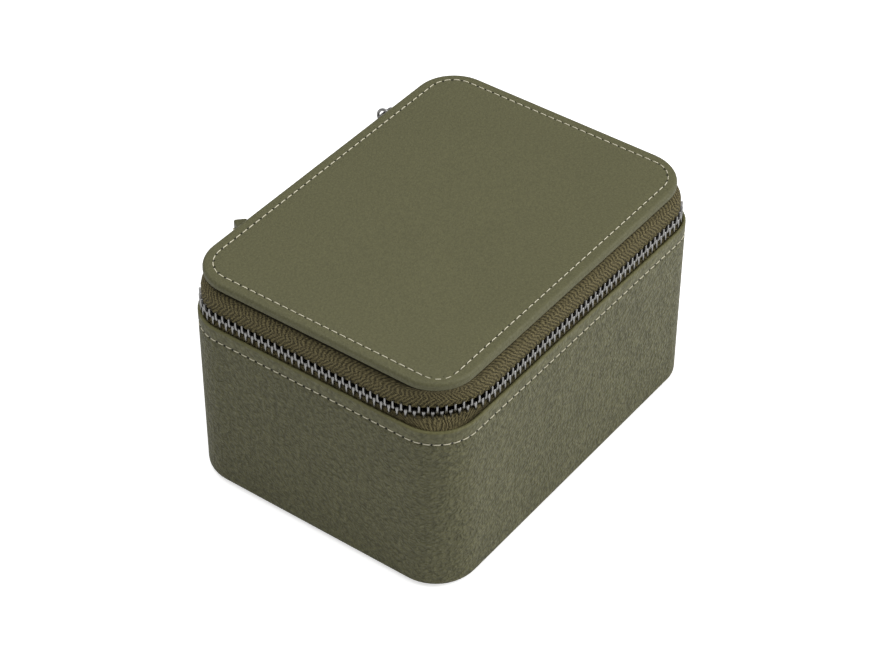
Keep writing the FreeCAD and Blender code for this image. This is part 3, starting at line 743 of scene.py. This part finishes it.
def wall_line(sizes):
    return line_of(wall_profile(sizes), (sizes.stitch_depth, wall_stitch_z(sizes)))


def lid_top(sizes, inset):
    """Height of the lid's padded top at a distance in from its edge."""
    edge = LID_LOW.z + sizes.lid_edge
    share = min(inset / LID_HIGH.y, 1.0)
    return edge + (LID_HIGH.z - edge) * (1 - (1 - share) ** 2)


def lid_profile(sizes):
    """Section of the lid, from under it out, round its edge and in over the top."""
    low = LID_LOW.z + sizes.lid_gap
    edge = LID_LOW.z + sizes.lid_edge
    roll = sizes.lid_edge_radius
    sewn = sizes.lid_stitch_inset
    groove = 0.8 * MM
    over_top = [sewn + groove] + [sewn + step * MM for step in (2.5, 6, 12, 20, 29, 38)]
    return [(sizes.lid_turn_in, low + sizes.leather), (sizes.lid_turn_in, low),
            *arc(roll, low + roll, roll, -90, 0, 8), *arc(roll, edge - roll, roll, 0, 90, 8),
            (sewn - groove, lid_top(sizes, sewn - groove)), (sewn, lid_top(sizes, sewn) - sizes.stitch_depth),
            *[(inset, lid_top(sizes, inset)) for inset in over_top]]


def lid_line(sizes):
    sewn = sizes.lid_stitch_inset
    return line_of(lid_profile(sizes), (sewn, lid_top(sizes, sewn) - sizes.stitch_depth))


def even_pitch(outline, sizes):
    """Stitch pitch that goes round an outline a whole number of times."""
    total = outline.lengths()[1]
    return total / round(total / sizes.stitch_pitch)


def lid_rings(sizes):
    """The lid's rings, with the stitch line's own corners."""
    stack = rings(lid_outline(sizes), lid_profile(sizes))
    sewn = sizes.lid_stitch_inset
    for index, (inset, _) in enumerate(lid_profile(sizes)):
        if inset == sewn:
            stack[index] = lid_stitch_outline(sizes), stack[index][1]
    return stack


def stitch_model(sizes):
    """One stitch: a short thread with its ends pulled down into the leather."""
    deselect()
    reach = sizes.stitch_pitch * 0.45
    thick, straight = 0.145 * MM, 0.55
    narrowing, flattening = 0.45, 0.4
    aside, dip = 0.10 * MM, 0.36 * MM
    bpy.ops.mesh.primitive_cylinder_add(vertices=8, radius=thick, depth=2 * reach, end_fill_type="TRIFAN",
                                        rotation=(0, math.pi / 2, 0))
    obj = bpy.context.object
    fix_place()
    cut_at(obj, straight * reach, -straight * reach)
    for vert in edit(obj).verts:
        end = max(abs(vert.co.x) / reach - straight, 0.0) / (1 - straight)
        vert.co.y = vert.co.y * (1 - narrowing * end) + aside * math.copysign(end, vert.co.x)
        vert.co.z = vert.co.z * (1 - flattening * end) - dip * end
    close_edit()
    smooth(obj, 80)
    return obj


def stitch_places(outline, sizes):
    """Middle of each stitch along an outline, with its outward angle."""
    total = outline.lengths()[1]
    count = round(total / sizes.stitch_pitch)
    return [outline.walk((index + 0.5) * total / count) for index in range(count)]


# Operators

class CASE_OT_finishes(bpy.types.Operator):
    """Make the finishes, and give every frame piece the one of its slot"""
    bl_idname = "watch_case.finishes"
    bl_label = "Finishes"

    def execute(self, context):
        make_finishes(context.scene.watch_case_sizes, context.scene.watch_case_colours)
        for node, obj in frame["nodes"].items():
            obj.data.materials.clear()
            obj.data.materials.append(bpy.data.materials[FINISH_OF_SLOT[SLOTS[node]]])
        return {"FINISHED"}


class CASE_OT_wall_cover(bpy.types.Operator):
    """Build the leather wall with its rolled rim and its stitch line, and the panel under it"""
    bl_idname = "watch_case.wall_cover"
    bl_label = "Leather wall"

    def execute(self, context):
        sizes = context.scene.watch_case_sizes
        outline = wall_outline(sizes)
        cover = grown("wall_leather_cover", rings(outline, wall_profile(sizes)), "JOINED")
        wrap_uv(cover, outline)
        smooth(cover)
        settle(cover, "base", "wall_leather", "base_leather_wrap")
        z = wall_stitch_z(sizes)
        out = [standing(x, y, z, turn) @ Matrix.Translation((0, STITCH_RISE - sizes.stitch_depth, 0))
               @ Matrix.Rotation(-math.pi / 2, 4, "X") for x, y, turn in stitch_places(outline, sizes)]
        row = copies(stitch_model(sizes), "wall_stitches", out)
        settle(row, "base", "cream_thread")
        low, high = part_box("base_bottom_panel")
        panel_outline = outline.inset(outline.half_x - high.x)
        lip = (high.z - low.z) / 2
        slope = 0.4 * lip
        profile = [(lip, high.z), (0.0, high.z - lip), (slope, low.z + slope), (lip + slope, low.z)]
        panel = grown("bottom_panel_leather", rings(panel_outline, profile))
        smooth(panel)
        settle(panel, "base", "trim_leather", "base_bottom_panel")
        return {"FINISHED"}


class CASE_OT_lid_cover(bpy.types.Operator):
    """Build the padded lid with its rolled edge and its stitch line"""
    bl_idname = "watch_case.lid_cover"
    bl_label = "Padded lid"

    def execute(self, context):
        sizes = context.scene.watch_case_sizes
        cover = grown("lid_leather_cover", lid_rings(sizes))
        wrap_uv(cover, lid_stitch_outline(sizes))
        smooth(cover)
        settle(cover, "lid", "lid_top_leather", "lid_leather", "lid_foam", "lid_board")
        z = lid_top(sizes, sizes.lid_stitch_inset) - sizes.stitch_depth + STITCH_RISE
        places = [standing(x, y, z, turn) for x, y, turn in stitch_places(lid_stitch_outline(sizes), sizes)]
        row = copies(stitch_model(sizes), "lid_stitches", places)
        settle(row, "lid", "cream_thread")
        return {"FINISHED"}


# Zip

def chain_z():
    lower_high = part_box("lower_zip_teeth")[1].z
    return (lower_high + TEETH_LOW.z) / 2


def tape_stack(sizes):
    """Rings of the upper tape, from the chain up and in under the lid."""
    upright, top_half, tuck = 1.2 * MM, 43.9 * MM, 4.0 * MM
    chain = chain_outline(sizes)
    top = lid_outline(sizes).inset(LID_HIGH.y - top_half)
    bend = TAPE_LOW.z + upright
    high = TAPE_HIGH.z - sizes.tape / 2
    stack = [(chain, TAPE_LOW.z), (chain, bend)]
    steps = 10
    for step in range(1, steps + 1):
        share = step / steps
        stack.append((chain.towards(top, share ** 4), bend + (high - bend) * share))
    stack.append((top.inset(tuck), high))
    return stack


def tape_piece(name, stack, sizes, thickness, cuts, test):
    """A stretch of tape or strip: rings with a thickness, cut at X planes to the faces that pass a test."""
    obj = grown(name, stack, "OPEN")
    wrap_uv(obj, chain_outline(sizes))
    modify(obj, "SOLIDIFY", thickness=thickness, offset=0.0)
    keep_zone(obj, cuts, test)
    smooth(obj)
    return obj


class CASE_OT_zip_tapes(bpy.types.Operator):
    """Build the woven tapes, the tails behind and the leather hinge strip"""
    bl_idname = "watch_case.zip_tapes"
    bl_label = "Zip tapes and hinge strip"

    def execute(self, context):
        sizes = context.scene.watch_case_sizes
        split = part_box("zip_tail_tape_right")[1].x
        tucked = HINGE_END - 1.0 * MM
        fold_low, fold_high = SLIDER_HIGH.z + 0.4 * MM, SLIDER_HIGH.z + 2.6 * MM
        bend = {"start": (0, HINGE.y, fold_low), "end": (0, HINGE.y, fold_high)}
        stack = tape_stack(sizes)
        upper = tape_piece("upper_tape", stack, sizes, sizes.tape, (-split, split),
                           lambda at: at.y < 0 or abs(at.x) > split)
        settle(upper, "lid", "zip_tape_twill", "upper_zip_tape")

        for name, side in (("left", -1), ("right", 1)):
            tail = tape_piece("tail_tape_" + name, stack, sizes, sizes.tape, (side * split, side * tucked),
                              lambda at: at.y > 0 and tucked < side * at.x < split)
            dress(tail, "zip_tape_twill", "zip_tail_tape_" + name)
            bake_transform(tail, "base", "lid", **bend)

        seat, chain = seat_outline(sizes), chain_outline(sizes)
        foot = WRAP_HIGH.z - 0.6 * MM
        lower_stack = [(seat, SEAT_LOW.z), (seat, foot)]
        for share in (0.25, 0.5, 0.75, 1.0):
            lower_stack.append((seat.towards(chain, share), foot + (SEAT_HIGH.z - foot) * share))
        lower = tape_piece("lower_tape", lower_stack, sizes, sizes.tape, (-tucked, tucked),
                           lambda at: at.y < 0 or abs(at.x) > tucked)
        settle(lower, "base", "zip_tape_twill", "lower_zip_tape")

        strip_leather = 0.9 * MM
        rim = WRAP_HIGH.z
        strip_stack = [(seat, SEAT_LOW.z)]
        strip_stack += [(seat, rim + (stack[1][1] - rim) * share) for share in (0.0, 0.35, 0.7)]
        strip = tape_piece("hinge_strip", strip_stack + stack[1:], sizes, strip_leather,
                           (-HINGE_END, HINGE_END), lambda at: at.y > 0 and abs(at.x) < HINGE_END)
        dress(strip, "trim_leather", "hinge_strip_lower", "hinge_strip_upper")
        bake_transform(strip, "base", "lid", **bend)
        return {"FINISHED"}


def tooth_model(sizes, side):
    """One tooth: legs on the tape, a waist and a wider head that meshes with the other row."""
    deselect()
    bpy.ops.mesh.primitive_cube_add(size=1)
    obj = bpy.context.object
    half = sizes.tooth_depth / 2
    leg, head = 0.33 * MM, 0.52 * MM
    leg_end, waist, neck, tip = 2.45 * MM, 0.75 * MM, 0.35 * MM, -0.5 * MM
    shoulder, taper = 0.92, (0.97, 0.94, 1)
    obj.scale = (2 * leg, 2 * half, leg_end - waist)
    obj.location = (0, 0, (leg_end + waist) / 2)
    fix_place()
    edit(obj)
    pick(obj, lambda face: face.normal.z < -0.9)
    bpy.ops.mesh.extrude_region_move(TRANSFORM_OT_translate={"value": (0, 0, -neck)})
    bpy.ops.transform.resize(value=(head / leg, shoulder, 1))
    bpy.ops.mesh.extrude_region_move(TRANSFORM_OT_translate={"value": (0, 0, tip - waist + neck)})
    bpy.ops.transform.resize(value=taper)
    if side < 0:
        bpy.ops.mesh.select_all(action="SELECT")
        bpy.ops.transform.resize(value=(1, 1, -1), center_override=(0, 0, 0))
    close_edit()
    modify(obj, "BEVEL", width=0.13 * MM, segments=1, limit_method="ANGLE", angle_limit=math.radians(30))
    smooth(obj, 50)
    return obj


def teeth_places(sizes, side):
    """Places of one row on the front and sides, and on the tails behind, each as matrices."""
    chain = chain_outline(sizes)
    front = chain.lengths()[0][FRONT_START] + chain.half_x - chain.radii[2]
    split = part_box("zip_tail_tape_right")[1].x + 0.5 * MM
    end = -STOP_LOW.x
    throat, right_gap, left_gap = 4.85 * MM, 0.4 * MM, 1.9 * MM
    parting = 1.75 * MM if side > 0 else -0.3 * MM
    main, tails = [], []
    first = sizes.tooth_pitch / 2 if side > 0 else 0.0
    starts = ((1, first, end + right_gap), (-1, sizes.tooth_pitch - first, end + left_gap))
    for way, distance, last in starts:
        while True:
            x, y, turn = chain.walk(front + way * distance)
            behind = y > 0 and abs(x) < split
            if behind and abs(x) < last:
                break
            shift = parting if behind and way > 0 and x < SLIDER_LOW.x + throat else 0.0
            (tails if behind else main).append(standing(x, y, chain_z() + shift, turn))
            distance += sizes.tooth_pitch
    return main, tails


class CASE_OT_zip_teeth(bpy.types.Operator):
    """Build the metal teeth of both rows and the stops"""
    bl_idname = "watch_case.zip_teeth"
    bl_label = "Zip teeth"

    def execute(self, context):
        sizes = context.scene.watch_case_sizes
        upper, upper_tails = teeth_places(sizes, 1)
        lower, lower_tails = teeth_places(sizes, -1)
        for name, side, places, body, node in (
                ("upper_teeth", 1, upper, "lid", "upper_zip_teeth"),
                ("tail_teeth", 1, upper_tails, "base", "zip_tail_teeth"),
                ("lower_teeth", -1, lower + lower_tails, "base", "lower_zip_teeth")):
            settle(copies(tooth_model(sizes, side), name, places), body, "bright_nickel", node)
        for node in ("zip_top_stops", "zip_bottom_stop"):
            settle(softened(node, node + "_block", 0.15 * MM), "base", "bright_nickel", node)
        return {"FINISHED"}


class CASE_OT_slider(bpy.types.Operator):
    """Build the slider, its bridge, and the pull with its ring and leather tab"""
    bl_idname = "watch_case.slider"
    bl_label = "Slider and pull"

    def execute(self, context):
        sizes = context.scene.watch_case_sizes
        edge = 0.3 * MM
        settle(softened("slider_body", "slider_shell", edge, 3), "slider", "bright_nickel", "slider_body")
        arch = softened("slider_bridge", "slider_arch", edge, 3)
        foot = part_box("slider_bridge")[0].y + 1.0 * MM
        edit(arch)
        pick(arch, lambda vert: vert.co.y > foot, "verts")
        bpy.ops.transform.translate(value=(0, sizes.arch_reach, 0))
        close_edit()
        settle(arch, "slider", "bright_nickel", "slider_bridge")
        low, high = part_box("pull_ring")
        wire = (high.x - low.x) / 2
        deselect()
        bpy.ops.mesh.primitive_torus_add(major_radius=(high.y - low.y) / 2 - wire, minor_radius=wire,
                                         major_segments=40, minor_segments=12, location=(low + high) / 2,
                                         rotation=(0, math.pi / 2, 0))
        ring = bpy.context.object
        ring.name = ring.data.name = "pull_wire_ring"
        fix_place()
        smooth(ring, 80)
        settle(ring, "pull", "bright_nickel", "pull_ring")
        rim = softened("pull_eyelet", "pull_eyelet_rim", 0.12 * MM)
        settle(rim, "pull", "bright_nickel", "pull_eyelet")
        tab = softened("pull_tab", "pull_leather_tab", 0.5 * MM, 3)
        settle(tab, "pull", "trim_leather", "pull_tab")
        settle(pull_stitches(sizes), "pull", "cream_thread")
        return {"FINISHED"}


def pull_stitches(sizes):
    """Two rows of stitches up the pull, on its outer face."""
    low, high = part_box("pull_tab")
    middle = (low.x + high.x) / 2
    margin, foot, head = 1.6 * MM, 4.5 * MM, 6.5 * MM
    side = (high.x - low.x) / 2 - margin
    first, last = low.z + foot, high.z - head
    count = round((last - first) / sizes.stitch_pitch)
    places = []
    for x in (middle - side, middle + side):
        for index in range(count):
            z = first + (index + 0.5) * (last - first) / count
            places.append(Matrix.Translation((x, high.y, z)) @ Matrix.Rotation(-math.pi / 2, 4, "X")
                          @ Matrix.Rotation(math.pi / 2, 4, "Z"))
    return copies(stitch_model(sizes), "pull_tab_stitches", places)


# How far the end tab turns out from the case's back
TAB_ANGLE = math.radians(46)


def swell_loop(obj, sizes):
    """Round out the end tab towards its free end, where its leather folds back."""
    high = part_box("zip_end_tab")[1]
    thick = 2 * sizes.leather
    along = Vector((math.cos(TAB_ANGLE), math.sin(TAB_ANGLE), 0))
    across = Vector((-along.y, along.x, 0))
    tip = Vector((high.x, high.y - thick * along.x, 0))
    for vert in edit(obj).verts:
        near = 1 - min(max((tip - vert.co).dot(along) / sizes.loop_length, 0.0), 1.0)
        side = min(max((vert.co - tip).dot(across) / thick, 0.0), 1.0)
        vert.co += across * sizes.loop_swell * side * near ** 2 * (3 - 2 * near)
    close_edit()
    smooth(obj, 60)
    return obj


class CASE_OT_end_tab(bpy.types.Operator):
    """Build the leather tab over the zip's end and its stitches"""
    bl_idname = "watch_case.end_tab"
    bl_label = "End tab"

    def execute(self, context):
        sizes = context.scene.watch_case_sizes
        tab = swell_loop(softened("zip_end_tab", "end_tab_leather", 0.45 * MM, 3), sizes)
        settle(tab, "base", "trim_leather", "zip_end_tab")
        sewn = swell_loop(softened("end_tab_stitches", "end_tab_thread", 0.1 * MM), sizes)
        settle(sewn, "base", "cream_thread", "end_tab_stitches")
        return {"FINISHED"}


# Inside

class CASE_OT_linings(bpy.types.Operator):
    """Build the suede linings, the divider, the floor pad and the lid's pad"""
    bl_idname = "watch_case.linings"
    bl_label = "Linings and pads"

    def execute(self, context):
        case = wall_outline(context.scene.watch_case_sizes)
        inner, room = case.half_x - LINING_HIGH.x, 4.7 * MM
        suede, lip, roll = 1.0 * MM, 0.8 * MM, 0.4 * MM
        top, bottom = LINING_HIGH.z, LINING_LOW.z
        over = arc((inner + room) / 2, top - roll, (room - inner) / 2, 0, 180, 8)[1:-1]
        profile = [(room - suede, bottom), (room - suede, top - lip), (inner, top - lip),
                   *[(inset, min(z, top)) for inset, z in over], (room, top - lip), (room, bottom)]
        walls = grown("wall_suede", rings(case, profile), "JOINED")
        smooth(walls)
        settle(walls, "base", "suede_lining", "base_wall_lining")

        low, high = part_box("base_floor_pad")
        edge, bend = 0.4 * MM, 0.7 * MM
        profile = [(edge, low.z), (0.0, low.z + edge), *arc(bend, high.z - bend, bend, 0, 90, 5)]
        profile += [(inset * MM, high.z) for inset in (5, 14, 26)]
        pad = grown("floor_suede_pad", rings(case.inset(case.half_x - high.x), profile))
        smooth(pad)
        settle(pad, "base", "suede_lining", "base_floor_pad")

        low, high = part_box("lid_lining")
        edge, bulge = 0.3 * MM, 1.0 * MM
        rim, rim_width, middle = (high.z - low.z) * 0.55, 3, 32
        profile = [(edge, high.z), (0.0, high.z - edge)]
        for inset in (0.3, 1, 2, 3, 7, 14, 22, middle):
            rise = rim * (1 - min(inset / rim_width, 1)) ** 2
            sag = bulge * (1 - (1 - inset / middle) ** 2)
            profile.append((inset * MM, low.z + rise - sag))
        cover = grown("lid_suede_pad", rings(case.inset(case.half_x - high.x), profile))
        smooth(cover)
        settle(cover, "lid", "suede_lining", "lid_lining")

        wall = softened("divider_lining", "divider_suede", 0.5 * MM, 3)
        settle(wall, "base", "suede_lining", "divider_lining")
        return {"FINISHED"}


def fill_cushion(obj, sizes):
    """Swell a cushion with cloth under pressure, no further than a cap."""
    cap, pressure = 3.5 * MM, 4.0
    before = [vert.co.copy() for vert in obj.data.vertices]
    select_only(obj)
    cloth = obj.modifiers.new("filling", "CLOTH")
    cloth.settings.use_pressure = True
    cloth.settings.uniform_pressure_force = pressure
    cloth.settings.effector_weights.gravity = 0.0
    scene = bpy.context.scene
    for step in range(1, sizes.sim_frames + 1):
        scene.frame_set(step)
    bpy.ops.object.modifier_apply(modifier=cloth.name)
    scene.frame_set(1)
    for vert, old in zip(obj.data.vertices, before):
        move = vert.co - old
        if move.length > cap:
            vert.co = old + move * (cap / move.length)


def piping(cushion, name, x):
    """Piped seam where a plane cuts the cushion."""
    seam = copy_of(cushion, name)
    edit(seam)
    bpy.ops.mesh.bisect(plane_co=(x, 0, 0), plane_no=(1, 0, 0), clear_inner=True, clear_outer=True)
    leave_edit()
    bpy.ops.object.convert(target="CURVE")
    seam.data.bevel_depth = 0.75 * MM
    seam.data.bevel_resolution = 2
    bpy.ops.object.convert(target="MESH")
    smooth(bpy.context.object, 80)
    return bpy.context.object


class CASE_OT_cushions(bpy.types.Operator):
    """Build the two filled watch cushions with their piped seams"""
    bl_idname = "watch_case.cushions"
    bl_label = "Cushions"

    def execute(self, context):
        sizes = context.scene.watch_case_sizes
        for side in ("left", "right"):
            body = "cushion_" + side
            cushion = copy_of(frame["nodes"][body + "_core"], body + "_pillow")
            edit(cushion)
            bpy.ops.mesh.remove_doubles(threshold=0.01 * MM)
            leave_edit()
            modify(cushion, "REMESH", mode="VOXEL", voxel_size=sizes.cushion_voxel)
            fill_cushion(cushion, sizes)
            modify(cushion, "SUBSURF", levels=1, render_levels=1)
            smooth(cushion, 80)
            settle(cushion, body, "suede_lining", body + "_cover", body + "_core")
            low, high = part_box(body + "_cover")
            inset = 6.0 * MM
            for label, x in (("a", low.x + inset), ("b", high.x - inset)):
                seam = piping(cushion, body + "_piping_" + label, x)
                settle(seam, body, "suede_lining")
        return {"FINISHED"}


# Stage

VIEW_AZIMUTH = -53.64
VIEW_ELEVATION = 40.65
VIEW_ROLL = -0.18
VIEW_DISTANCE = 0.78665
VIEW_AIM = (12.54 * MM, 10.32 * MM, 18.90 * MM)
VIEW_LENS = 103.89
LIGHT_AIM = Vector((0, 0, 0.04))
WHITE = (1.0, 1.0, 1.0, 1.0)


def aimed_light(name, place, size, power):
    bpy.ops.object.light_add(type="AREA", location=place)
    light = bpy.context.object
    light.name = name
    light.data.shape = "DISK"
    light.data.size = size
    light.data.energy = power
    light.rotation_euler = (LIGHT_AIM - Vector(place)).to_track_quat("-Z", "Y").to_euler()


class CASE_OT_stage(bpy.types.Operator):
    """Set the pale floor, the soft studio light and the camera"""
    bl_idname = "watch_case.stage"
    bl_label = "Stage"

    def execute(self, context):
        scene = context.scene
        deselect()
        bpy.ops.mesh.primitive_plane_add(size=6.0)
        floor = context.object
        floor.name = floor.data.name = "studio_floor"
        glow = 0.62
        tree, shader = new_finish("pale_floor", {"Roughness": 0.9, "Emission Color": WHITE})
        speck = noise(tree, put(tree, "TexCoord").outputs["Object"], 9.0, 2.0)
        tint = toned(tree, speck, scene.watch_case_colours.floor, 0.99, 1.01)
        tree.links.new(tint, shader["Base Color"])
        seen = reckon(tree, "MULTIPLY", put(tree, "LightPath").outputs["Is Camera Ray"], glow)
        tree.links.new(seen, shader["Emission Strength"])
        floor.data.materials.append(bpy.data.materials["pale_floor"])

        world = bpy.data.worlds.new("studio")
        world.use_nodes = True
        sky = world.node_tree.nodes["Background"].inputs
        sky["Color"].default_value = WHITE
        sky["Strength"].default_value = 0.38
        scene.world = world
        scene.view_settings.view_transform = "Standard"
        aimed_light("key_softbox", (0.55, -1.0, 0.85), size=0.9, power=11.0)
        aimed_light("top_softbox", (-0.15, 0.25, 1.35), size=1.1, power=7.2)

        bpy.ops.object.camera_add()
        camera = context.object
        camera.name = "photo_view"
        camera.data.lens = VIEW_LENS
        azimuth, elevation = math.radians(VIEW_AZIMUTH), math.radians(VIEW_ELEVATION)
        back = Vector((math.sin(azimuth) * math.cos(elevation), -math.cos(azimuth) * math.cos(elevation),
                       math.sin(elevation)))
        camera.rotation_euler = ((-back).to_track_quat("-Z", "Y").to_matrix()
                                 @ Matrix.Rotation(math.radians(-VIEW_ROLL), 3, "Z")).to_euler()
        camera.location = Vector(VIEW_AIM) + back * VIEW_DISTANCE
        scene.camera = camera
        return {"FINISHED"}


class CASE_PT_panel(bpy.types.Panel):
    """Sidebar list of the case's pieces, sizes and colours"""
    bl_idname = "CASE_PT_panel"
    bl_label = "Watch Travel Case"
    bl_space_type = "VIEW_3D"
    bl_region_type = "UI"
    bl_category = "Watch Case"

    def draw(self, context):
        for step in STEPS:
            self.layout.operator(step.bl_idname)
        for settings in (context.scene.watch_case_sizes, context.scene.watch_case_colours):
            for key in settings.__annotations__:
                self.layout.prop(settings, key)


STEPS = (CASE_OT_stage, CASE_OT_finishes, CASE_OT_wall_cover, CASE_OT_lid_cover, CASE_OT_zip_tapes,
         CASE_OT_zip_teeth, CASE_OT_slider, CASE_OT_end_tab, CASE_OT_linings, CASE_OT_cushions)
CLASSES = (CaseSizes, CaseColours, *STEPS, CASE_PT_panel)


def register():
    for item in CLASSES:
        bpy.utils.register_class(item)
    bpy.types.Scene.watch_case_sizes = PointerProperty(type=CaseSizes)
    bpy.types.Scene.watch_case_colours = PointerProperty(type=CaseColours)


def unregister():
    del bpy.types.Scene.watch_case_colours
    del bpy.types.Scene.watch_case_sizes
    for item in reversed(CLASSES):
        bpy.utils.unregister_class(item)


def main():
    register()
    for step in STEPS:
        family, name = step.bl_idname.split(".")
        getattr(getattr(bpy.ops, family), name)()
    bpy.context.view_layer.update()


if __name__ == "__main__":
    main()
